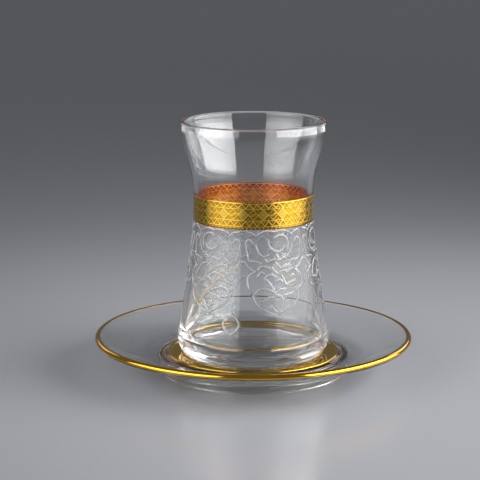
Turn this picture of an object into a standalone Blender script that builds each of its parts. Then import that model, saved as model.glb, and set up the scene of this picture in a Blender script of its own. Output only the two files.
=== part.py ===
"""Waisted tea glass standing on its saucer, both of clear pressed glass.

Two turned solids, metres, +Z up, the origin at the bottom centre of the
saucer's foot:
  saucer     foot ring, flat floor, wide slanting rim
  tea_glass  heavy rounded base, cone, narrow waist, flared mouth, round lip
Each profile is worked out from the named sizes below and turned about Z.
"""

import math

import bpy

MM = 0.001

# ----------------------------------------------------------------- saucer
SAUCER_R = 62.5 * MM          # outer radius of the rim
SAUCER_EDGE = 1.25 * MM       # rounding radius of the rim's edge
SAUCER_WALL = 2.5 * MM        # thickness of the rim and of the ring round the foot
SAUCER_H = 14.9 * MM          # top of the rim above the table
FOOT_R = 36.6 * MM            # outer radius of the foot ring
FOOT_ROUND = 0.6 * MM         # rounding at the foot's resting edge
FOOT_IN_R = 34.2 * MM         # inner radius of the foot ring
RECESS_Z = 4.4 * MM           # underside of the floor inside the foot ring
FLOOR_TOP = 7.5 * MM          # top of the flat floor
DISH_R = 43.6 * MM            # where the floor starts to rise to the rim
DISH_ROUND = 7.0 * MM         # rounding of that bend

# -------------------------------------------------------------- tea glass
GAP = 0.3 * MM                # clearance between the glass and the floor
GLASS_H = 91.8 * MM           # overall height
LIP_R = 28.5 * MM             # outer radius at the mouth
LIP_TUBE = 1.0 * MM           # radius of the rounded lip
WAIST_R = 23.4 * MM           # radius of the straight waist
CONE_TOP = 49.3 * MM          # height where the cone runs out into the waist
CONE_SLOPE = 0.1486           # radius gained per unit of height below it
CONE_SOFT = 2.0 * MM          # how softly the cone runs into the waist
FLARE_Z = 60.0 * MM           # where the flare of the mouth begins
FLARE_TOP = 90.0 * MM         # and where it has reached the lip's radius
FLARE_BEND = 1.357            # keeps the flare slow at first, then quick
HEEL_BULGE = 0.32 * MM        # slight swelling of the wall above the base
HEEL_TOP = 11.5 * MM          # height where that swelling has died out
HEEL_Z = 6.4 * MM             # height of the widest circle of the base
BASE_R = 27.2 * MM            # radius at the bottom of the rounded heel
BASE_ROUND = 1.6              # exponent of the heel's rounding
REST_R = 25.6 * MM            # radius of the ring that it stands on
PUNT_R = 21.0 * MM            # radius of the hollow under the base
PUNT_H = 1.2 * MM             # its depth
WALL_TOP = 1.55 * MM          # wall just under the lip
WALL_LOW = 2.5 * MM           # wall above the base
FLOOR_Z = 3.4 * MM            # inside floor above the glass's bottom
FLOOR_ROUND = 6.0 * MM        # rounding between the inside floor and the wall

STEPS = 60                    # facets round each solid


def smooth(t):
    t = min(1.0, max(0.0, t))
    return t * t * (3.0 - 2.0 * t)


def arc(cx, cz, r, a0, a1, n):
    """n + 1 points of an arc in the XZ plane, angles in degrees."""
    out = []
    for i in range(n + 1):
        a = math.radians(a0 + (a1 - a0) * i / n)
        out.append((cx + r * math.cos(a), cz + r * math.sin(a)))
    return out


def fillet(p, q, s, r, n):
    """Round the corner q of the path p, q, s with radius r."""
    ux, uz = p[0] - q[0], p[1] - q[1]
    vx, vz = s[0] - q[0], s[1] - q[1]
    lu, lv = math.hypot(ux, uz), math.hypot(vx, vz)
    ux, uz, vx, vz = ux / lu, uz / lu, vx / lv, vz / lv
    half = math.acos(max(-1.0, min(1.0, ux * vx + uz * vz))) / 2
    d = min(r / math.tan(half), 0.45 * lu, 0.45 * lv)
    r = d * math.tan(half)
    bx, bz = ux + vx, uz + vz
    lb = math.hypot(bx, bz)
    cx, cz = q[0] + bx / lb * r / math.sin(half), q[1] + bz / lb * r / math.sin(half)
    a0 = math.atan2(q[1] + uz * d - cz, q[0] + ux * d - cx)
    a1 = math.atan2(q[1] + vz * d - cz, q[0] + vx * d - cx)
    while a1 - a0 > math.pi:
        a1 -= 2 * math.pi
    while a1 - a0 < -math.pi:
        a1 += 2 * math.pi
    return arc(cx, cz, r, math.degrees(a0), math.degrees(a1), n)


def outer_radius(z):
    """Outside radius of the tea glass above its rounded heel."""
    cone = CONE_SLOPE * CONE_SOFT * math.log1p(math.exp((CONE_TOP - z) / CONE_SOFT))
    u = max(0.0, (z - FLARE_Z) / (FLARE_TOP - FLARE_Z))
    flare = (LIP_R - WAIST_R) * smooth(u ** FLARE_BEND)
    heel = HEEL_BULGE * smooth((HEEL_TOP - z) / (HEEL_TOP - HEEL_Z))
    return WAIST_R + cone + flare + heel


def wall(z):
    """Wall thickness of the tea glass at a height."""
    t = (z - FLOOR_Z) / (GLASS_H - FLOOR_Z)
    return WALL_LOW + (WALL_TOP - WALL_LOW) * smooth(t)


def glass_profile():
    """From the inside floor's centre up the inside, over the lip, down the
    outside, round the heel and back to the axis under the base."""
    pts = [(0.0, FLOOR_Z)]
    # rounded corner of the inside floor, a quarter of an ellipse
    top = FLOOR_Z + FLOOR_ROUND
    r_top = outer_radius(top) - wall(top)
    r_low = r_top - FLOOR_ROUND * 1.25
    for i in range(7):
        a = math.radians(90.0 * i / 6)
        pts.append((r_low + (r_top - r_low) * math.sin(a),
                    top - FLOOR_ROUND * math.cos(a)))
    lip_z = GLASS_H - LIP_TUBE
    steps = 10
    for i in range(1, steps + 1):
        z = top + (lip_z - 1.2 * MM - top) * i / steps
        pts.append((outer_radius(z) - wall(z), z))
    pts += arc(LIP_R - LIP_TUBE, lip_z, LIP_TUBE, 170, -10, 6)
    steps = 13
    for i in range(1, steps + 1):
        z = lip_z - 1.2 * MM + (HEEL_Z - lip_z + 1.2 * MM) * i / steps
        pts.append((outer_radius(z), z))
    widest = outer_radius(HEEL_Z)
    for i in range(1, 7):
        z = HEEL_Z * (1 - i / 6.0) ** 1.5
        k = (1 - (1 - z / HEEL_Z) ** BASE_ROUND) ** (1 / BASE_ROUND)
        if i < 6:
            pts.append((BASE_R + (widest - BASE_R) * k, z))
    pts.append((BASE_R - 0.35 * MM, 0.25 * MM))
    pts.append((REST_R + 0.4 * MM, 0.0))
    pts.append((PUNT_R + 1.2 * MM, 0.0))
    for i in range(1, 5):
        a = math.radians(90.0 * i / 4)
        pts.append(((PUNT_R + 0.6 * MM) * math.cos(a), PUNT_H * math.sin(a)))
    return pts


def saucer_profile():
    """From the floor's centre out over the rim, down the outside of the rim,
    along the flat ring, down the foot and back under the floor.  The rim's
    two faces are parallel, and both touch the round of its edge."""
    tip = (SAUCER_R - SAUCER_EDGE, SAUCER_H - SAUCER_EDGE)
    run, rise = tip[0] - DISH_R, tip[1] - FLOOR_TOP
    slope = math.atan2(rise, run) + math.asin(SAUCER_EDGE / math.hypot(run, rise))
    edge = arc(tip[0], tip[1], SAUCER_EDGE, 90 + math.degrees(slope),
               -90 + math.degrees(slope), 8)
    under = FLOOR_TOP - SAUCER_WALL
    knee = DISH_R + SAUCER_WALL * math.tan(slope / 2)
    pts = [(0.0, FLOOR_TOP)]
    pts += fillet((0.0, FLOOR_TOP), (DISH_R, FLOOR_TOP), edge[0], DISH_ROUND, 4)
    pts += edge
    pts += fillet(edge[-1], (knee, under), (FOOT_R, under),
                  DISH_ROUND + SAUCER_WALL, 4)
    pts += fillet((knee, under), (FOOT_R, under), (FOOT_R, 0.0), 1.0 * MM, 3)
    pts += fillet((FOOT_R, under), (FOOT_R, 0.0), (FOOT_IN_R, 0.0), FOOT_ROUND, 2)
    pts += fillet((FOOT_R, 0.0), (FOOT_IN_R, 0.0), (FOOT_IN_R, RECESS_Z),
                  FOOT_ROUND, 2)
    pts += fillet((FOOT_IN_R, 0.0), (FOOT_IN_R, RECESS_Z), (0.0, RECESS_Z),
                  0.8 * MM, 2)
    pts.append((0.0, RECESS_Z))
    return pts


def glass_material(name, colour):
    mat = bpy.data.materials.new(name)
    mat.use_nodes = True
    bsdf = mat.node_tree.nodes["Principled BSDF"]
    bsdf.inputs["Base Color"].default_value = colour
    bsdf.inputs["Roughness"].default_value = 0.03
    bsdf.inputs["Metallic"].default_value = 0.0
    bsdf.inputs["IOR"].default_value = 1.5
    bsdf.inputs["Transmission Weight"].default_value = 1.0
    return mat


def turned(name, profile, colour, z):
    """A solid turned about Z from a profile that starts and ends on the axis."""
    mesh = bpy.data.meshes.new(name)
    verts = [(x, 0.0, y) for x, y in profile]
    edges = [(i, i + 1) for i in range(len(verts) - 1)]
    mesh.from_pydata(verts, edges, [])
    obj = bpy.data.objects.new(name, mesh)
    bpy.context.scene.collection.objects.link(obj)
    screw = obj.modifiers.new("turn", "SCREW")
    screw.axis = "Z"
    screw.angle = 2 * math.pi
    screw.steps = STEPS
    screw.render_steps = STEPS
    screw.use_merge_vertices = True
    screw.merge_threshold = 0.00005
    screw.use_smooth_shade = True
    mesh.materials.append(glass_material(name + "_glass", colour))
    obj.location = (0.0, 0.0, z)
    return obj


def main():
    for obj in list(bpy.data.objects):
        bpy.data.objects.remove(obj, do_unlink=True)
    turned("saucer", saucer_profile(), (0.93, 0.95, 0.96, 1.0), 0.0)
    turned("tea_glass", glass_profile(), (0.94, 0.96, 0.97, 1.0), FLOOR_TOP + GAP)


main()
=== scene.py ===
"""Looks of the waisted tea glass on its saucer: clear pressed glass with raised
ornament, an etched gold band, a gold ring on the saucer's floor and a gold
line on its rim.  Lengths are in millimetres until a mesh is made."""
import math

import bpy
import numpy as np
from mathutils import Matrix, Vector
from mathutils.geometry import delaunay_2d_cdt


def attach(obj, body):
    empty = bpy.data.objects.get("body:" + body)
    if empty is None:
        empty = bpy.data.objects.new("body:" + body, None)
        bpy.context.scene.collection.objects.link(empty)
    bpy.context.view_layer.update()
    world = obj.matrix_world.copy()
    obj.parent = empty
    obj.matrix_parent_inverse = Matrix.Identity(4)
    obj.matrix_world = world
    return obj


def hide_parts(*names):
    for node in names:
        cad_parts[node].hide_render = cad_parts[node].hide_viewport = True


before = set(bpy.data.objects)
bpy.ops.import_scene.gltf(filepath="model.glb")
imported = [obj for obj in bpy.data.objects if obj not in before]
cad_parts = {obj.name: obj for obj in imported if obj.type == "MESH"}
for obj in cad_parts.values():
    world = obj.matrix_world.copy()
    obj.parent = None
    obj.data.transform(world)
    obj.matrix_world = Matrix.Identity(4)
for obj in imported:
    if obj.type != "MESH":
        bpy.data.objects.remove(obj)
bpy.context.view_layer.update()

MM = 0.001
TAU = 2.0 * math.pi

# ------------------------------------------------------------ sizes (as built)
SAUCER_R, SAUCER_EDGE, SAUCER_H, SAUCER_WALL = 62.5, 1.25, 14.9, 2.5
FOOT_R, FOOT_ROUND, FOOT_IN_R = 36.6, 0.6, 34.2
RECESS_Z, FLOOR_TOP = 4.4, 7.5
DISH_R, DISH_ROUND = 43.6, 7.0

GAP = 0.3
GLASS_H, LIP_R, LIP_TUBE, WAIST_R = 91.8, 28.5, 1.0, 23.4
CONE_TOP, CONE_SLOPE, CONE_SOFT = 49.3, 0.1486, 2.0
FLARE_Z, FLARE_TOP, FLARE_BEND = 60.0, 90.0, 1.357
HEEL_BULGE, HEEL_TOP, HEEL_Z = 0.32, 11.5, 6.4
BASE_R, BASE_ROUND, REST_R, PUNT_R, PUNT_H = 27.2, 1.6, 25.6, 21.0, 1.2
WALL_TOP, WALL_LOW, FLOOR_Z, FLOOR_ROUND = 1.55, 2.5, 3.4, 6.0
Z0 = FLOOR_TOP + GAP                 # the glass's bottom above the table

BAND_LOW, BAND_TOP = 60.9, 71.2      # gold band, heights above the table
RING_IN = 27.0                       # inner edge of the gold ring on the floor
BEAD_R, BEAD_HALF, BEAD_H = 33.15, 0.6, 0.45  # gilded bead at its outer edge
COLUMNS = 288                        # columns of the turned parts of the glass


def smooth(t):
    t = min(1.0, max(0.0, t))
    return t * t * (3.0 - 2.0 * t)


def outer_radius(z):
    """Outside radius of the glass, z above its bottom."""
    cone = CONE_SLOPE * CONE_SOFT * math.log1p(math.exp((CONE_TOP - z) / CONE_SOFT))
    u = max(0.0, (z - FLARE_Z) / (FLARE_TOP - FLARE_Z))
    flare = (LIP_R - WAIST_R) * smooth(u ** FLARE_BEND)
    heel = HEEL_BULGE * smooth((HEEL_TOP - z) / (HEEL_TOP - HEEL_Z))
    return WAIST_R + cone + flare + heel


def wall(z):
    t = (z - FLOOR_Z) / (GLASS_H - FLOOR_Z)
    return WALL_LOW + (WALL_TOP - WALL_LOW) * smooth(t)


def arc(cx, cz, r, a0, a1, n):
    out = []
    for i in range(n + 1):
        a = math.radians(a0 + (a1 - a0) * i / n)
        out.append((cx + r * math.cos(a), cz + r * math.sin(a)))
    return out


def fillet(p, q, s, r, n):
    """Round the corner q of the path p, q, s with radius r."""
    ux, uz = p[0] - q[0], p[1] - q[1]
    vx, vz = s[0] - q[0], s[1] - q[1]
    lu, lv = math.hypot(ux, uz), math.hypot(vx, vz)
    ux, uz, vx, vz = ux / lu, uz / lu, vx / lv, vz / lv
    half = math.acos(max(-1.0, min(1.0, ux * vx + uz * vz))) / 2
    d = min(r / math.tan(half), 0.45 * lu, 0.45 * lv)
    r = d * math.tan(half)
    bx, bz = ux + vx, uz + vz
    lb = math.hypot(bx, bz)
    cx, cz = q[0] + bx / lb * r / math.sin(half), q[1] + bz / lb * r / math.sin(half)
    a0 = math.atan2(q[1] + uz * d - cz, q[0] + ux * d - cx)
    a1 = math.atan2(q[1] + vz * d - cz, q[0] + vx * d - cx)
    while a1 - a0 > math.pi:
        a1 -= TAU
    while a1 - a0 < -math.pi:
        a1 += TAU
    return arc(cx, cz, r, math.degrees(a0), math.degrees(a1), n)


def lines_to(path, points, step):
    """Add the points to the path, with the long stretches divided."""
    for p in points:
        q = path[-1]
        n = max(1, int(math.hypot(p[0] - q[0], p[1] - q[1]) / step))
        for i in range(1, n + 1):
            path.append((q[0] + (p[0] - q[0]) * i / n, q[1] + (p[1] - q[1]) * i / n))
    return path


# ------------------------------------------------------------------- materials
def new_material(name):
    mat = bpy.data.materials.new(name)
    mat.use_nodes = True
    nodes, links = mat.node_tree.nodes, mat.node_tree.links
    return mat, nodes, links, nodes["Principled BSDF"]


def noise(nodes, links, coord, scale, detail=2.0, rough=0.5):
    n = nodes.new("ShaderNodeTexNoise")
    n.inputs["Scale"].default_value = scale
    n.inputs["Detail"].default_value = detail
    n.inputs["Roughness"].default_value = rough
    links.new(coord, n.inputs["Vector"])
    return n


def clear_glass(name, tint_a, tint_b, ripple, rough=0.0, clear=1.0):
    """Clear pressed glass: a faint drift of tint and the slight unevenness
    that pressing and fire-polishing leave.  The ornament's lines are a little
    satin, so they are rougher and less clear."""
    mat, nodes, links, bsdf = new_material(name)
    coord = nodes.new("ShaderNodeTexCoord").outputs["Object"]
    drift = noise(nodes, links, coord, 38.0)
    mix = nodes.new("ShaderNodeMix")
    mix.data_type = "RGBA"
    links.new(drift.outputs["Fac"], mix.inputs["Factor"])
    mix.inputs["A"].default_value = (*tint_a, 1.0)
    mix.inputs["B"].default_value = (*tint_b, 1.0)
    links.new(mix.outputs["Result"], bsdf.inputs["Base Color"])
    wave = noise(nodes, links, coord, 120.0, 1.0)
    bump = nodes.new("ShaderNodeBump")
    bump.inputs["Strength"].default_value = ripple
    bump.inputs["Distance"].default_value = 0.0004
    links.new(wave.outputs["Fac"], bump.inputs["Height"])
    links.new(bump.outputs["Normal"], bsdf.inputs["Normal"])
    bsdf.inputs["Roughness"].default_value = rough
    bsdf.inputs["IOR"].default_value = 1.5
    bsdf.inputs["Transmission Weight"].default_value = clear
    return mat


class Field:
    """A number that varies over a surface, worked out by shader nodes."""

    def __init__(self, nodes, links, socket):
        self.nodes, self.links, self.socket = nodes, links, socket

    def math(self, kind, *others, clamp=False):
        node = self.nodes.new("ShaderNodeMath")
        node.operation = kind
        node.use_clamp = clamp
        for slot, value in zip(node.inputs, (self,) + others):
            if isinstance(value, Field):
                self.links.new(value.socket, slot)
            else:
                slot.default_value = float(value)
        return Field(self.nodes, self.links, node.outputs[0])

    def __add__(self, other):
        return self.math("ADD", other)

    def __sub__(self, other):
        return self.math("SUBTRACT", other)

    def __mul__(self, other):
        return self.math("MULTIPLY", other)

    def __truediv__(self, other):
        return self.math("DIVIDE", other)

    def __rsub__(self, other):
        return self.math("MULTIPLY_ADD", -1.0, other)

    __radd__ = __add__
    __rmul__ = __mul__


def absolute(v):
    return v.math("ABSOLUTE") if isinstance(v, Field) else np.abs(v)


def fraction(v):
    return v.math("FRACT") if isinstance(v, Field) else v - np.floor(v)


def root(v):
    return v.math("SQRT") if isinstance(v, Field) else np.sqrt(v)


def most(a, b):
    return a.math("MAXIMUM", b) if isinstance(a, Field) else np.maximum(a, b)


def least(a, b):
    return a.math("MINIMUM", b) if isinstance(a, Field) else np.minimum(a, b)


def over(v, at):
    """1 where v is more than at, else 0."""
    if isinstance(v, Field):
        return v.math("GREATER_THAN", at)
    return (v > at).astype(float)


def stroke(distance, half, soft=0.05):
    """1 on a line of that half width, with a soft edge."""
    v = (half + soft - absolute(distance)) / (2.0 * soft)
    return v.math("ADD", 0.0, clamp=True) if isinstance(v, Field) else np.clip(v, 0.0, 1.0)


def gold_film(name, line, ground, rough_line, rough_ground, shade_colour=None, rows=()):
    """Gold film, bright and mirror-like where it is bare and matt on the
    band's etched lines.  With rows it is the band, and the bare gold between
    those heights gets painted shade: it is darkened to shade_colour."""
    mat, nodes, links, bsdf = new_material(name)
    bsdf.inputs["Metallic"].default_value = 1.0
    coord = nodes.new("ShaderNodeTexCoord").outputs["Object"]
    grain = noise(nodes, links, coord, 2600.0, 3.0, 0.6)
    worn = noise(nodes, links, coord, 150.0, 2.0)
    speck = Field(nodes, links, noise(nodes, links, coord, 900.0, 2.0).outputs["Fac"])
    if rows:
        split = nodes.new("ShaderNodeSeparateXYZ")
        links.new(coord, split.inputs[0])
        x, y, z = (Field(nodes, links, split.outputs[i]) for i in range(3))
        u = x.math("ARCTAN2", y * -1.0) * (BAND_TURN / TAU)
        etch = band_pattern(u, z / MM - BAND_LOW, BAND_TURN)
        # the acid bites the lines unevenly
        etch = etch * (speck * 1.1 + 0.42).math("MINIMUM", 1.0)
    else:
        etch = (speck - 0.62).math("MULTIPLY", 2.0, clamp=True)
    mix = nodes.new("ShaderNodeMix")
    mix.data_type = "RGBA"
    links.new(etch.socket, mix.inputs["Factor"])
    mix.inputs["A"].default_value = (*ground, 1.0)
    mix.inputs["B"].default_value = (*line, 1.0)
    if rows:
        height = z / MM - BAND_LOW
        inside = None
        for low, high in rows:
            row = over(height, low) * over(high - height, 0.0)
            inside = row if inside is None else most(inside, row)
        # painted shade: the bare gold between these heights is mixed towards a darker colour
        bare = nodes.new("ShaderNodeMix")
        bare.data_type = "RGBA"
        links.new(inside.socket, bare.inputs["Factor"])
        bare.inputs["A"].default_value = (*ground, 1.0)
        bare.inputs["B"].default_value = (*shade_colour, 1.0)
        links.new(bare.outputs["Result"], mix.inputs["A"])
    tone = nodes.new("ShaderNodeMapRange")
    tone.inputs["From Min"].default_value = 0.3
    tone.inputs["From Max"].default_value = 0.7
    tone.inputs["To Min"].default_value = 0.9
    tone.inputs["To Max"].default_value = 1.06
    links.new(worn.outputs["Fac"], tone.inputs["Value"])
    shade = nodes.new("ShaderNodeVectorMath")
    shade.operation = "SCALE"
    links.new(mix.outputs["Result"], shade.inputs[0])
    links.new(tone.outputs["Result"], shade.inputs["Scale"])
    links.new(shade.outputs["Vector"], bsdf.inputs["Base Color"])
    rough = nodes.new("ShaderNodeMapRange")
    rough.inputs["To Min"].default_value = rough_ground
    rough.inputs["To Max"].default_value = rough_line
    links.new(etch.socket, rough.inputs["Value"])
    links.new(rough.outputs["Result"], bsdf.inputs["Roughness"])
    bump = nodes.new("ShaderNodeBump")
    bump.inputs["Strength"].default_value = 0.12
    bump.inputs["Distance"].default_value = 0.00003
    links.new(grain.outputs["Fac"], bump.inputs["Height"])
    links.new(bump.outputs["Normal"], bsdf.inputs["Normal"])
    return mat


# ---------------------------------------------------------------------- meshes
def make_object(name, verts, faces, materials, indices=None):
    mesh = bpy.data.meshes.new(name)
    mesh.from_pydata((np.asarray(verts) * MM).tolist(), [], faces)
    for m in materials:
        mesh.materials.append(m)
    if indices is not None:
        mesh.polygons.foreach_set("material_index", indices)
    mesh.shade_smooth()
    mesh.update()
    mesh.validate()
    obj = bpy.data.objects.new(name, mesh)
    bpy.context.scene.collection.objects.link(obj)
    return obj


def ring_points(r, z, n, start=0.0):
    a = start + np.arange(n) * TAU / n
    return np.stack([r * np.sin(a), -r * np.cos(a), np.full(n, z)], axis=1)


def join_rings(faces, a, b, n, flip=False):
    """Quads between two rings of vertices that start at a and b."""
    for i in range(n):
        j = (i + 1) % n
        quad = (a + i, b + i, b + j, a + j)
        faces.append(quad[::-1] if flip else quad)


def turned(name, profile, n, materials, z=0.0):
    """A closed solid turned from a profile that starts and ends on the axis:
    from the top centre outwards and down to the bottom centre."""
    verts = [np.array([[0.0, 0.0, profile[0][1] + z]])]
    faces = []
    count = 1
    previous = None
    for r, h in profile[1:-1]:
        verts.append(ring_points(r, h + z, n))
        if previous is None:
            faces += [(0, count + i, count + (i + 1) % n) for i in range(n)]
        else:
            join_rings(faces, previous, count, n)
        previous = count
        count += n
    verts.append(np.array([[0.0, 0.0, profile[-1][1] + z]]))
    faces += [(count, previous + (i + 1) % n, previous + i) for i in range(n)]
    return make_object(name, np.concatenate(verts), faces, materials)


def bead(a0, a1, n):
    """The fine raised bead round the saucer's floor."""
    return [(r, FLOOR_TOP + z * BEAD_H / BEAD_HALF)
            for r, z in arc(BEAD_R, 0.0, BEAD_HALF, a0, a1, n)]


def saucer_profile():
    tip = (SAUCER_R - SAUCER_EDGE, SAUCER_H - SAUCER_EDGE)
    run, rise = tip[0] - DISH_R, tip[1] - FLOOR_TOP
    slope = math.atan2(rise, run) + math.asin(SAUCER_EDGE / math.hypot(run, rise))
    lean = math.degrees(slope)
    edge = arc(tip[0], tip[1], SAUCER_EDGE, 90 + lean, -90 + lean, 20)
    under = FLOOR_TOP - SAUCER_WALL
    knee = DISH_R + SAUCER_WALL * math.tan(slope / 2)
    path = [(0.0, FLOOR_TOP), (6.0, FLOOR_TOP)]
    lines_to(path, [(BEAD_R - BEAD_HALF, FLOOR_TOP)], 3.0)
    path += bead(180, 0, 16)[1:]
    lines_to(path, fillet((0.0, FLOOR_TOP), (DISH_R, FLOOR_TOP), edge[0],
                          DISH_ROUND, 10), 3.0)
    lines_to(path, edge[:1], 2.0)
    path += edge[1:]
    lines_to(path, fillet(edge[-1], (knee, under), (FOOT_R, under),
                          DISH_ROUND + SAUCER_WALL, 10), 3.0)
    path += fillet((knee, under), (FOOT_R, under), (FOOT_R, 0.0), 1.0, 8)
    path += fillet((FOOT_R, under), (FOOT_R, 0.0), (FOOT_IN_R, 0.0), FOOT_ROUND, 6)
    path += fillet((FOOT_R, 0.0), (FOOT_IN_R, 0.0), (FOOT_IN_R, RECESS_Z),
                   FOOT_ROUND, 6)
    path += fillet((FOOT_IN_R, 0.0), (FOOT_IN_R, RECESS_Z), (0.0, RECESS_Z), 0.8, 6)
    lines_to(path, [(6.0, RECESS_Z)], 5.0)
    path.append((0.0, RECESS_Z))
    return path


# ------------------------------------------------------------ raised ornament
# One medallion, in degrees from its axis and millimetres above the table.
SIDES = (      # drawn on both sides of the axis
    ((17.7, 54.9), (17.0, 53.4), (15.1, 52.0), (12.7, 51.0), (10.5, 50.7),
     (8.5, 50.9), (6.0, 51.2)),
    ((0.0, 59.9), (3.3, 60.3), (7.5, 60.4), (11.8, 60.0), (15.1, 59.3), (18.0, 58.4)),
    ((18.0, 58.4), (19.9, 59.2), (22.5, 59.7), (26.0, 60.0)),
    ((21.2, 55.9), (23.0, 56.9), (25.6, 56.9), (27.4, 55.7), (26.8, 54.0),
     (25.7, 51.8), (24.9, 50.1), (23.9, 49.2), (21.3, 48.9), (18.4, 48.9),
     (16.0, 48.7), (13.5, 48.0)),
    ((18.5, 45.0), (23.0, 46.2), (25.6, 47.2), (27.6, 48.3), (30.0, 48.9)),
    ((18.5, 45.0), (21.5, 44.4), (24.5, 43.2), (25.2, 41.5), (24.4, 39.2),
     (22.9, 38.2), (19.9, 37.8), (18.4, 37.0)),
    ((20.5, 35.8), (19.0, 34.0), (16.5, 32.5), (13.7, 31.4), (11.3, 30.9),
     (8.8, 30.2), (5.5, 29.3), (1.9, 28.6), (0.0, 28.4)),
)
INSIDE = (     # drawn once, mirrored on every second medallion
    ((1.0, 51.0), (2.4, 50.2), (4.2, 49.2), (7.3, 50.1), (9.5, 49.6)),
    ((0.6, 47.7), (2.9, 46.8), (4.6, 45.7)),
    ((-3.3, 46.1), (-1.6, 45.1), (0.6, 44.1)),
    ((-3.4, 43.7), (-0.2, 42.8)),
    ((4.7, 43.2), (6.4, 42.0), (8.1, 40.4), (9.6, 39.7), (12.6, 40.4),
     (17.4, 40.8)),
    ((-0.6, 41.0), (1.7, 41.7), (4.0, 41.5), (5.7, 40.4)),
    ((1.4, 37.4), (2.6, 38.1), (7.2, 37.9)),
    ((0.3, 35.9), (3.0, 35.5), (5.4, 34.0)),
    ((-4.6, 31.6), (-3.0, 30.9), (-1.4, 29.7)),
    ((4.5, 32.4), (2.6, 31.0), (0.3, 29.7)),
    ((-2.1, 37.0), (-7.0, 38.0), (-11.8, 38.6), (-16.1, 38.1), (-18.9, 36.7)),
    ((-2.4, 37.9), (-5.1, 39.8), (-7.8, 41.3), (-10.6, 42.4), (-7.9, 43.4),
     (-4.7, 43.8)),
    ((-6.0, 46.2), (-9.8, 46.9), (-14.0, 46.9), (-15.6, 45.9)),
    ((-11.0, 44.4), (-13.5, 44.9), (-16.6, 43.2)),
    ((-1.0, 49.4), (-4.2, 49.3), (-7.6, 48.6), (-9.6, 49.6)),
    ((-3.2, 35.2), (-7.0, 35.2), (-10.6, 34.2), (-13.6, 33.9)),
)
LEAVES = (     # on every second medallion only
    ((6.7, 46.3), (9.8, 46.9), (14.0, 46.9), (14.9, 46.2)),
    ((5.5, 44.8), (8.0, 45.2), (9.8, 44.4)),
    ((11.1, 44.3), (12.5, 45.2), (15.8, 45.4)),
    ((13.4, 42.5), (15.2, 43.1), (17.6, 42.8)),
    ((8.8, 35.8), (11.7, 36.0), (14.9, 36.2)),
)
STEMS = (      # on the others, in their place
    ((6.2, 47.0), (10.2, 46.6), (14.6, 44.6), (17.8, 41.6)),
)
PENDANT = (    # hangs beside every second medallion, in degrees of its own
    ((-13.4, 26.0), (-13.2, 26.9), (-10.9, 27.5), (-8.2, 27.3), (-5.9, 26.8),
     (-2.9, 27.1), (-0.7, 26.7)),
    ((-0.7, 26.7), (-3.2, 26.6), (-5.0, 25.0), (-3.6, 23.1), (-1.0, 21.9),
     (1.5, 21.0)),
    ((2.4, 28.5), (5.4, 27.5), (7.7, 26.0), (8.0, 24.4), (5.7, 22.7), (1.5, 21.0)),
    ((4.2, 32.2), (3.2, 30.8), (3.4, 29.6)),
)
CURL = (       # two hooks that wind into each other at the medallion's head
    ((-6.3, 56.6), (-5.9, 55.4), (-4.4, 54.0), (-1.6, 52.9), (1.7, 52.4),
     (5.2, 52.5), (7.8, 53.2), (9.2, 54.2)),
    ((-0.6, 57.6), (0.7, 58.0), (3.2, 58.4), (6.8, 58.4), (10.0, 57.9), (12.4, 56.9),
     (13.4, 55.7), (13.4, 54.4), (12.4, 53.1)),
)
ZONE_LOW, ZONE_TOP = 16.0, 62.0      # the wall that carries the ornament
RELIEF_H = 0.17                      # height of its lines
THIN, THICK = 0.34, 0.50             # half widths of its lines


def spline(points, step):
    """Points every step along a Catmull-Rom curve."""
    p = [np.array(q, dtype=float) for q in points]
    p = [2 * p[0] - p[1]] + p + [2 * p[-1] - p[-2]]
    out = []
    for i in range(1, len(p) - 2):
        n = max(2, int(np.linalg.norm(p[i + 1] - p[i]) / step))
        for k in range(n):
            t = k / n
            out.append(0.5 * ((2 * p[i]) + (p[i + 1] - p[i - 1]) * t
                              + (2 * p[i - 1] - 5 * p[i] + 4 * p[i + 1] - p[i + 2]) * t * t
                              + (3 * p[i] - p[i - 1] - 3 * p[i + 1] + p[i + 2]) * t ** 3))
    out.append(p[-2])
    return np.array(out)


MID_R = 26.0            # radius at which degrees are turned into millimetres


def ornament_lines():
    """The lines over a third of the wall, as (arc length, height) paths with
    the half width of each."""
    k = math.radians(1.0) * MID_R
    paths = []
    for axis, hand in ((20.3, 1.0), (-39.7, -1.0)):
        for line in SIDES:
            for s in (1.0, -1.0):
                paths.append(([((axis + s * a) * k, z) for a, z in line], THIN))
        for line in INSIDE + CURL + (LEAVES if hand > 0.0 else STEMS):
            paths.append(([((axis + hand * a) * k, z) for a, z in line], THICK))
    for line in PENDANT:
        paths.append(([((-19.5 + a) * k, z) for a, z in line], THICK))
    return [(spline(p, 0.3), half) for p, half in paths]


def relief(points, segments):
    """Height of the ornament at points (arc length, height)."""
    a, b, half = segments
    ab = b - a
    length = (ab ** 2).sum(axis=1)
    best = np.full(len(points), 1e9)
    for s in range(0, len(points), 2000):
        p = points[s:s + 2000, None, :]
        t = np.clip(((p - a) * ab).sum(axis=2) / length, 0.0, 1.0)
        d = ((p - (a + ab * t[:, :, None])) ** 2).sum(axis=2) / half ** 2
        best[s:s + 2000] = d.min(axis=1)
    d = np.sqrt(best)
    h = np.where(d < 1.0, 0.5 + 0.5 * np.cos(math.pi * np.minimum(d, 1.0)), 0.0)
    z = points[:, 1]
    edge = np.clip((BAND_LOW - 0.05 - z) / 0.3, 0.0, 1.0)
    return RELIEF_H * h * edge


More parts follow.
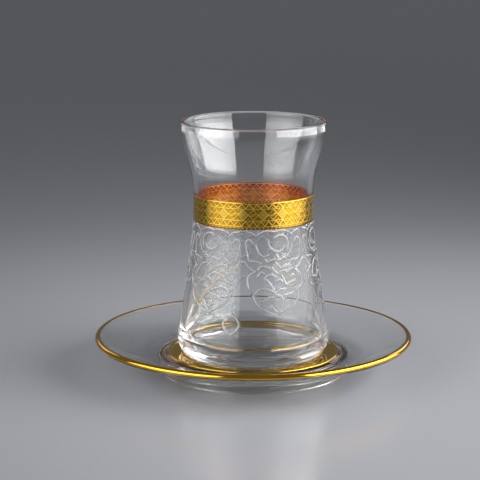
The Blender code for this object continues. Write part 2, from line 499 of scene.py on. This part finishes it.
def ornament_zone():
    """The outer wall between ZONE_LOW and ZONE_TOP as triangles that are small
    along the ornament's lines: vertices, triangles, bottom and top rows."""
    k = math.radians(1.0) * MID_R
    third = 120.0 * k
    round_all = 3 * third
    lines = ornament_lines()
    seg_a = np.concatenate([l[:-1] for l, half in lines])
    seg_b = np.concatenate([l[1:] for l, half in lines])
    seg_w = np.concatenate([np.full(len(l) - 1, half) for l, half in lines])
    keep = ((seg_b - seg_a) ** 2).sum(axis=1) > 1e-8
    seg_a, seg_b, seg_w = seg_a[keep], seg_b[keep], seg_w[keep]
    shift = np.array([third, 0.0])
    segments = (np.concatenate([seg_a - shift, seg_a, seg_a + shift]),
                np.concatenate([seg_b - shift, seg_b, seg_b + shift]),
                np.concatenate([seg_w] * 3))
    low = -80.0 * k                       # start of the first third
    # points along the lines, at the crest and to both sides of it
    cloud = []
    for line, half in lines:
        step = np.gradient(line, axis=0)
        normal = np.stack([-step[:, 1], step[:, 0]], axis=1)
        normal /= np.maximum(np.linalg.norm(normal, axis=1, keepdims=True), 1e-9)
        for off in (0.0, 0.33, -0.33, 0.66, -0.66, 1.0, -1.0, 1.35, -1.35):
            cloud.append(line + normal * (off * half))
    for off in (0.8,):
        nx = int(third / off)
        gx = low + (np.arange(nx) + 0.5) * third / nx
        gz = np.arange(ZONE_LOW + 0.6, ZONE_TOP - 0.5, off)
        xx, zz = np.meshgrid(gx, gz)
        xx = xx + (np.arange(len(gz)) % 2)[:, None] * 0.4 * off
        cloud.append(np.stack([xx.ravel(), zz.ravel()], axis=1))
    taken = {}
    kept = []
    for order, pts in enumerate(cloud):
        spacing = 0.11 if order < len(cloud) - 1 else 0.42
        for x, z in pts:
            if not ZONE_LOW + 0.3 < z < ZONE_TOP - 0.2:
                continue
            x = low + (x - low) % third
            cx, cz = int(x / 0.15), int(z / 0.15)
            near = False
            reach = 1 if spacing < 0.2 else 3
            for i in range(cx - reach, cx + reach + 1):
                for j in range(cz - reach, cz + reach + 1):
                    for q in taken.get((i, j), ()):
                        if (q[0] - x) ** 2 + (q[1] - z) ** 2 < spacing * spacing:
                            near = True
                            break
                    if near:
                        break
                if near:
                    break
            if near:
                continue
            taken.setdefault((cx, cz), []).append((x, z))
            kept.append((x, z))
    base = np.array(kept)
    height = relief(base, segments)
    pts = np.concatenate([base, base + shift, base + 2 * shift])
    h = np.concatenate([height] * 3)
    # a free column along the seam, and the two rows at the zone's edges
    first = low
    inside = (pts[:, 0] > first + 0.12) & (pts[:, 0] < first + round_all - 0.12)
    pts, h = pts[inside], h[inside]
    seam_z = np.linspace(ZONE_LOW, ZONE_TOP, 116)[1:-1]
    seam = np.stack([np.full(len(seam_z), first), seam_z], axis=1)
    seam_h = relief(seam, segments)
    row_x = first + np.arange(COLUMNS + 1) * round_all / COLUMNS
    rows = [np.stack([row_x, np.full(COLUMNS + 1, z)], axis=1) for z in (ZONE_LOW, ZONE_TOP)]
    every = np.concatenate([rows[0], rows[1], seam, seam + [round_all, 0.0], pts])
    every_h = np.concatenate([np.zeros(2 * (COLUMNS + 1)), seam_h, seam_h, h])
    result = delaunay_2d_cdt([Vector(p) for p in every], [], [], 0, 1e-5, True)
    out_v, out_f, origin = result[0], result[2], result[3]
    # vertices of the right edge are those of the left edge
    xy = np.array([tuple(v) for v in out_v])
    source = np.array([o[0] if o else -1 for o in origin])
    n_row, n_seam = COLUMNS + 1, len(seam)
    target = np.arange(len(every))
    target[COLUMNS] = 0
    target[n_row + COLUMNS] = n_row
    s0 = 2 * n_row
    target[s0 + n_seam:s0 + 2 * n_seam] = np.arange(s0, s0 + n_seam)
    used = sorted(set(target.tolist()))
    index = {u: i for i, u in enumerate(used)}
    tris = []
    for f in out_f:
        t = [index[int(target[source[v]])] for v in f]
        if len(set(t)) == 3:
            tris.append(t)
    coords = every[used]
    heights = every_h[used]
    angle = (coords[:, 0] / k) * math.pi / 180.0
    radius = np.array([outer_radius(z - Z0) for z in coords[:, 1]]) + heights
    verts = np.stack([radius * np.sin(angle), -radius * np.cos(angle), coords[:, 1]], axis=1)
    bottom = [index[i] for i in range(COLUMNS)]
    top = [index[n_row + i] for i in range(COLUMNS)]
    crest = heights[np.array(tris)].mean(axis=1) > 0.55 * RELIEF_H
    return verts, tris, crest.astype(int).tolist(), bottom, top, math.radians(first / k)


def glass_object(materials):
    verts, tris, index, bottom, top, start = ornament_zone()
    verts = [verts]
    faces = [tuple(t) for t in tris]
    count = len(verts[0])
    n = COLUMNS

    def strip(first, path, flip):
        nonlocal count
        prev = list(first)
        for r, z in path:
            verts.append(ring_points(r, z, n, start))
            cur = list(range(count, count + n))
            count += n
            for i in range(n):
                j = (i + 1) % n
                quad = (prev[i], cur[i], cur[j], prev[j])
                faces.append(quad if flip else quad[::-1])
            prev = cur
        return prev

    def cap(last, z, flip):
        nonlocal count
        verts.append(np.array([[0.0, 0.0, z]]))
        for i in range(n):
            tri = (last[i], count, last[(i + 1) % n])
            faces.append(tri if flip else tri[::-1])
        count += 1

    # up the outside, over the lip, down the inside to the floor's centre
    lip_z = GLASS_H - LIP_TUBE
    path = []
    z_from, z_to = ZONE_TOP - Z0, lip_z - 1.1
    for i in range(1, 27):
        z = z_from + (z_to - z_from) * i / 26
        path.append((outer_radius(z), z + Z0))
    path += [(r, z + Z0) for r, z in arc(LIP_R - LIP_TUBE, lip_z, LIP_TUBE, -14, 176, 18)]
    top_z = FLOOR_Z + FLOOR_ROUND
    for i in range(0, 31):
        z = lip_z - 1.3 + (top_z - lip_z + 1.3) * i / 30
        path.append((outer_radius(z) - wall(z), z + Z0))
    r_top = outer_radius(top_z) - wall(top_z)
    r_low = r_top - FLOOR_ROUND * 1.25
    for i in range(1, 15):
        a = math.radians(90.0 * (1 - i / 14))
        path.append((r_low + (r_top - r_low) * math.sin(a),
                     top_z - FLOOR_ROUND * math.cos(a) + Z0))
    path += [(r, FLOOR_Z + Z0) for r in (r_low * 0.75, r_low * 0.5, r_low * 0.25)]
    last = strip(top, path, False)
    cap(last, FLOOR_Z + Z0, False)

    # down the outside, round the heel, under the base
    path = []
    z_from = ZONE_LOW - Z0
    for i in range(1, 4):
        z = z_from + (HEEL_Z - z_from) * i / 3
        path.append((outer_radius(z), z + Z0))
    widest = outer_radius(HEEL_Z)
    steps = 16
    for i in range(1, steps):
        z = HEEL_Z * (1 - i / steps) ** 1.5
        k = (1 - (1 - z / HEEL_Z) ** BASE_ROUND) ** (1 / BASE_ROUND)
        path.append((BASE_R + (widest - BASE_R) * k, z + Z0))
    path += [(r, z + Z0) for r, z in (
        (BASE_R - 0.08, 0.32), (BASE_R - 0.4, 0.12), (BASE_R - 0.9, 0.02),
        (REST_R + 0.1, 0.0), (REST_R - 1.2, 0.0), (PUNT_R + 2.0, 0.0),
        (PUNT_R + 1.2, 0.0))]
    for i in range(1, 13):
        a = math.radians(90.0 * i / 13)
        path.append(((PUNT_R + 0.6) * math.cos(a), PUNT_H * math.sin(a) + Z0))
    last = strip(bottom, path, True)
    cap(last, PUNT_H + Z0, True)
    index += [0] * (len(faces) - len(index))
    return make_object("glass_body", np.concatenate(verts), faces, materials, index)


# ------------------------------------------------------------------- gilding
BAND_TURN = TAU * (WAIST_R + 0.1)     # the band's length round the glass


def band_pattern(u, v, turn):
    """1 on the band's etched lines; u along the band, v up from its lower
    edge, in numbers for the mesh or in fields for the material."""
    out = stroke(v - 9.92, 0.12)
    for at in (1.12, 3.42, 7.86):
        out = most(out, stroke(v - at, 0.10))
    # studs in the lowest row
    p = turn / 92.0
    out = most(out, least(stroke((fraction(u / p) - 0.5) * p, 0.20),
                          stroke(v - 0.55, 0.24)))
    # two zigzag rows, with a stud in each point
    p = turn / 50.0
    x = (fraction(u / p) - 0.5) * p
    t = absolute(x) * (2.0 / p)
    for low, high, turned_over in ((1.28, 3.30, False), (8.02, 9.78, True)):
        w = (high - v if turned_over else v - low) / (high - low)
        zig = stroke((w - t) * (high - low) * 0.6, 0.15)
        y = (w - 0.78) * (high - low)
        zig = most(zig, stroke(root(x * x + y * y), 0.19))
        out = most(out, zig * over(v, low) * over(high - v, 0.0))
    # a lattice of diamonds: every second one holds squares, the others a scroll
    p = turn / 19.0
    wide = p / 4.0
    x = (fraction(u / p) - 0.5) * p
    xs = (fraction(u / p + 0.5) - 0.5) * p          # from the middle of the others
    y = v - 5.64
    tall = 2.12
    nest_at = absolute(x) / wide + absolute(y) / tall
    other_at = absolute(xs) / wide + absolute(y) / tall
    middle = over(v, 3.52) * over(7.76 - v, 0.0)
    fill = stroke((nest_at - 0.98) * 1.43, 0.14)
    fill = most(fill, stroke((nest_at - 0.60) * 1.43, 0.12))
    fill = most(fill, stroke((nest_at - 0.20) * 1.43, 0.12))
    scroll = stroke((other_at - 0.98) * 1.43, 0.10)
    for s in (1.0, -1.0):
        ax, ay = xs - 0.52 * s, y
        bow = stroke(root(ax * ax + ay * ay) - 0.50, 0.12) * over(ay * s, -0.12)
        scroll = most(scroll, bow)
        ay = y + 0.30 * s
        scroll = most(scroll, stroke(root(ax * ax + ay * ay), 0.15))
        # the small triangles above and below the lattice
        tx = absolute(x) - wide
        ty = y - 1.62 * s
        scroll = most(scroll, stroke(root(tx * tx + ty * ty), 0.17))
        ty = y - 1.30 * s
        scroll = most(scroll, stroke(root(xs * xs + ty * ty), 0.14))
    return most(out, most(fill, scroll) * middle)


def band_object(outside, inside):
    n, rows = 640, 68
    angle = np.arange(n) * TAU / n
    heights = np.linspace(BAND_LOW, BAND_TOP, rows + 1)
    uu, vv = np.meshgrid(angle / TAU * BAND_TURN, heights - BAND_LOW)
    mask = band_pattern(uu, vv, BAND_TURN)
    base = np.array([outer_radius(z - Z0) for z in heights])[:, None]
    out_r = base + 0.04 + 0.025 * mask
    in_r = base - 0.045 + 0.012 * mask
    layers = []
    for radius in (out_r, in_r):
        layers.append(np.stack([radius * np.sin(angle), -radius * np.cos(angle),
                                np.repeat(heights[:, None], n, axis=1)], axis=2).reshape(-1, 3))
    verts = np.concatenate(layers)
    m = (rows + 1) * n
    faces, index = [], []
    for j in range(rows):
        for i in range(n):
            k = (i + 1) % n
            a, b, c, d = j * n + i, j * n + k, (j + 1) * n + k, (j + 1) * n + i
            faces.append((a, b, c, d))
            index.append(0)
            faces.append((m + d, m + c, m + b, m + a))
            index.append(1)
    for i in range(n):
        k = (i + 1) % n
        faces.append((i, m + i, m + k, k))
        t = rows * n
        faces.append((t + k, m + t + k, m + t + i, t + i))
        index += [0, 0]
    return make_object("gilt_band", verts, faces, [outside, inside], index)


def film_strip(name, section, thickness, n, material):
    """A closed thin film over a turned strip; section runs along the strip
    with its outward normals on the left hand."""
    pts = np.array(section)
    step = np.gradient(pts, axis=0)
    normal = np.stack([-step[:, 1], step[:, 0]], axis=1)
    normal /= np.linalg.norm(normal, axis=1, keepdims=True)
    t = np.linspace(0.0, 1.0, len(pts))
    body = np.clip(np.minimum(t, 1 - t) * 14.0, 0.0, 1.0) ** 0.5
    outer = pts + normal * (0.012 + (thickness - 0.012) * body)[:, None]
    inner = (pts - normal * 0.05)[::-1]
    loop = np.concatenate([outer, inner])
    m = len(loop)
    angle = np.arange(n) * TAU / n
    verts = np.stack([loop[:, 0][:, None] * np.sin(angle), -loop[:, 0][:, None] * np.cos(angle),
                      np.repeat(loop[:, 1][:, None], n, axis=1)], axis=2).reshape(-1, 3)
    faces = []
    for j in range(m):
        a, b = j * n, ((j + 1) % m) * n
        for i in range(n):
            k = (i + 1) % n
            faces.append((a + i, b + i, b + k, a + k))
    return make_object(name, verts, faces, [material])


# --------------------------------------------------------------------- build
glass_mat = clear_glass("cup_glass_clear", (0.965, 0.975, 0.975), (0.985, 0.99, 0.99), 0.05)
saucer_mat = clear_glass("saucer_glass_clear", (0.955, 0.97, 0.965), (0.98, 0.985, 0.985), 0.06)
line_mat = clear_glass("cup_glass_lines", (0.95, 0.96, 0.96), (0.98, 0.985, 0.985), 0.05, 0.28,
                       0.78)
# painted shade: the bare gold is darkened on the lowest strip of the band's outer face, and on
# the upper zigzag row and a strip above the top line of its inner face
gold_mat = gold_film("etched_gold", (0.96, 0.65, 0.15), (0.80, 0.44, 0.025), 0.34, 0.08,
                     (0.42, 0.18, 0.006), ((-0.1, 0.42),))
copper_mat = gold_film("gold_from_inside", (1.0, 0.42, 0.04), (0.85, 0.25, 0.008), 0.34, 0.16,
                       (0.42, 0.05, 0.001), ((7.98, 9.8), (10.05, 10.4)))
bright_gold = gold_film("bright_gold", (0.86, 0.52, 0.08), (0.80, 0.43, 0.035), 0.25, 0.09)
ring_gold = gold_film("floor_ring_gold", (0.84, 0.54, 0.06), (0.78, 0.46, 0.025), 0.25, 0.07)

glass = glass_object([glass_mat, line_mat])
saucer = turned("saucer_body", saucer_profile(), 256, [saucer_mat])
band = band_object(gold_mat, copper_mat)

ring_flat = BEAD_R - BEAD_HALF - 0.06
ring_path = [(RING_IN + (ring_flat - RING_IN) * i / 12, FLOOR_TOP) for i in range(13)]
ring_path += bead(162, 12, 15)
floor_ring = film_strip("gilt_floor_ring", ring_path, 0.05, 256, ring_gold)

tip_r, tip_z = SAUCER_R - SAUCER_EDGE, SAUCER_H - SAUCER_EDGE
rim_path = arc(tip_r, tip_z, SAUCER_EDGE, 128, -16, 22)
rim_line = film_strip("gilt_rim_line", rim_path, 0.05, 320, bright_gold)

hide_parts("tea_glass")
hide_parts("saucer")
for piece, slot in ((glass, "cup_glass"), (saucer, "saucer_glass"), (band, "gilding"),
                    (floor_ring, "gilding"), (rim_line, "gilding")):
    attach(piece, "root")

# --------------------------------------------------------------------- studio
scene = bpy.context.scene
floor_mat, nodes, links, bsdf = new_material("studio_floor")
# painted light: the floor's colour is paler within 0.1 m of the centre and fades darker out to
# 0.36 m, a painted pool of light round the object
coord = nodes.new("ShaderNodeTexCoord").outputs["Object"]
far = nodes.new("ShaderNodeVectorMath")
far.operation = "LENGTH"
links.new(coord, far.inputs[0])
painted_light_falloff = nodes.new("ShaderNodeMapRange")
painted_light_falloff.interpolation_type = "SMOOTHSTEP"
painted_light_falloff.inputs["From Min"].default_value = 0.10
painted_light_falloff.inputs["From Max"].default_value = 0.36
links.new(far.outputs["Value"], painted_light_falloff.inputs["Value"])
mix = nodes.new("ShaderNodeMix")
mix.data_type = "RGBA"
links.new(painted_light_falloff.outputs["Result"], mix.inputs["Factor"])
mix.inputs["A"].default_value = (0.43, 0.437, 0.470, 1.0)
mix.inputs["B"].default_value = (0.36, 0.366, 0.394, 1.0)
links.new(mix.outputs["Result"], bsdf.inputs["Base Color"])
bsdf.inputs["Roughness"].default_value = 0.22
bsdf.inputs["Specular IOR Level"].default_value = 0.4
size = 6.0
mesh = bpy.data.meshes.new("floor")
mesh.from_pydata([(-size, -size, 0), (size, -size, 0), (size, size, 0), (-size, size, 0)],
                 [], [(0, 1, 2, 3)])
mesh.materials.append(floor_mat)
floor = bpy.data.objects.new("floor", mesh)
scene.collection.objects.link(floor)

world = bpy.data.worlds.new("studio")
scene.world = world
world.use_nodes = True
world.node_tree.nodes["Background"].inputs[0].default_value = (0.14, 0.143, 0.151, 1.0)
world.node_tree.nodes["Background"].inputs[1].default_value = 1.0


pieces = bpy.data.collections.new("pieces")
for piece in (glass, saucer, band, floor_ring, rim_line):
    pieces.objects.link(piece)


def softbox(name, x, y, wide, steps, spread):
    """An upright box of light that stands beside the object and faces it.
    It is bright at the top and dims towards the floor: steps gives the heights
    between which each value shines.  Its dim foot lights the object only, so
    that it draws no line on the floor."""
    for i, (low, high, value) in enumerate(steps):
        light = bpy.data.lights.new("%s_%d" % (name, i), "AREA")
        light.shape = "RECTANGLE"
        light.size, light.size_y = wide, high - low
        light.energy = math.pi * wide * (high - low) * value
        light.spread = math.radians(spread)
        obj = bpy.data.objects.new(light.name, light)
        obj.location = (x, y, (low + high) / 2)
        aim = Vector((-x, -y, 0.0))
        obj.rotation_euler = aim.to_track_quat("-Z", "Y").to_euler()
        obj.visible_camera = False
        if low < 0.05:
            obj.light_linking.receiver_collection = pieces
        scene.collection.objects.link(obj)


softbox("softbox_left", -0.252, -0.163, 0.42,
        ((0.001, 0.03, 0.31), (0.03, 0.09, 0.85), (0.09, 0.32, 2.2)), 120.0)
softbox("softbox_right", 0.313, -0.067, 0.56,
        ((0.001, 0.03, 0.78), (0.03, 0.09, 0.95), (0.09, 0.32, 5.2)), 130.0)
softbox("softbox_back", 0.240, 0.268, 0.18, ((0.10, 0.24, 0.85),), 120.0)
softbox("softbox_back_left", -0.240, 0.268, 0.18, ((0.10, 0.24, 0.40),), 120.0)

# clear glass in front of clear glass needs many turns of a ray
scene.cycles.max_bounces = 32
scene.cycles.transmission_bounces = 32
scene.cycles.glossy_bounces = 16

camera = bpy.data.cameras.new("camera")
camera.sensor_width = 36.0
camera.lens = 130.34
camera.clip_start = 0.01
eye = bpy.data.objects.new("camera", camera)
eye.location = (0.0, -0.6681, 0.1885)
eye.rotation_euler = (math.radians(90.0 - 11.529), 0.0, math.atan(13.5 / 1737.9))
scene.collection.objects.link(eye)
scene.camera = eye

scene.view_settings.view_transform = "Standard"
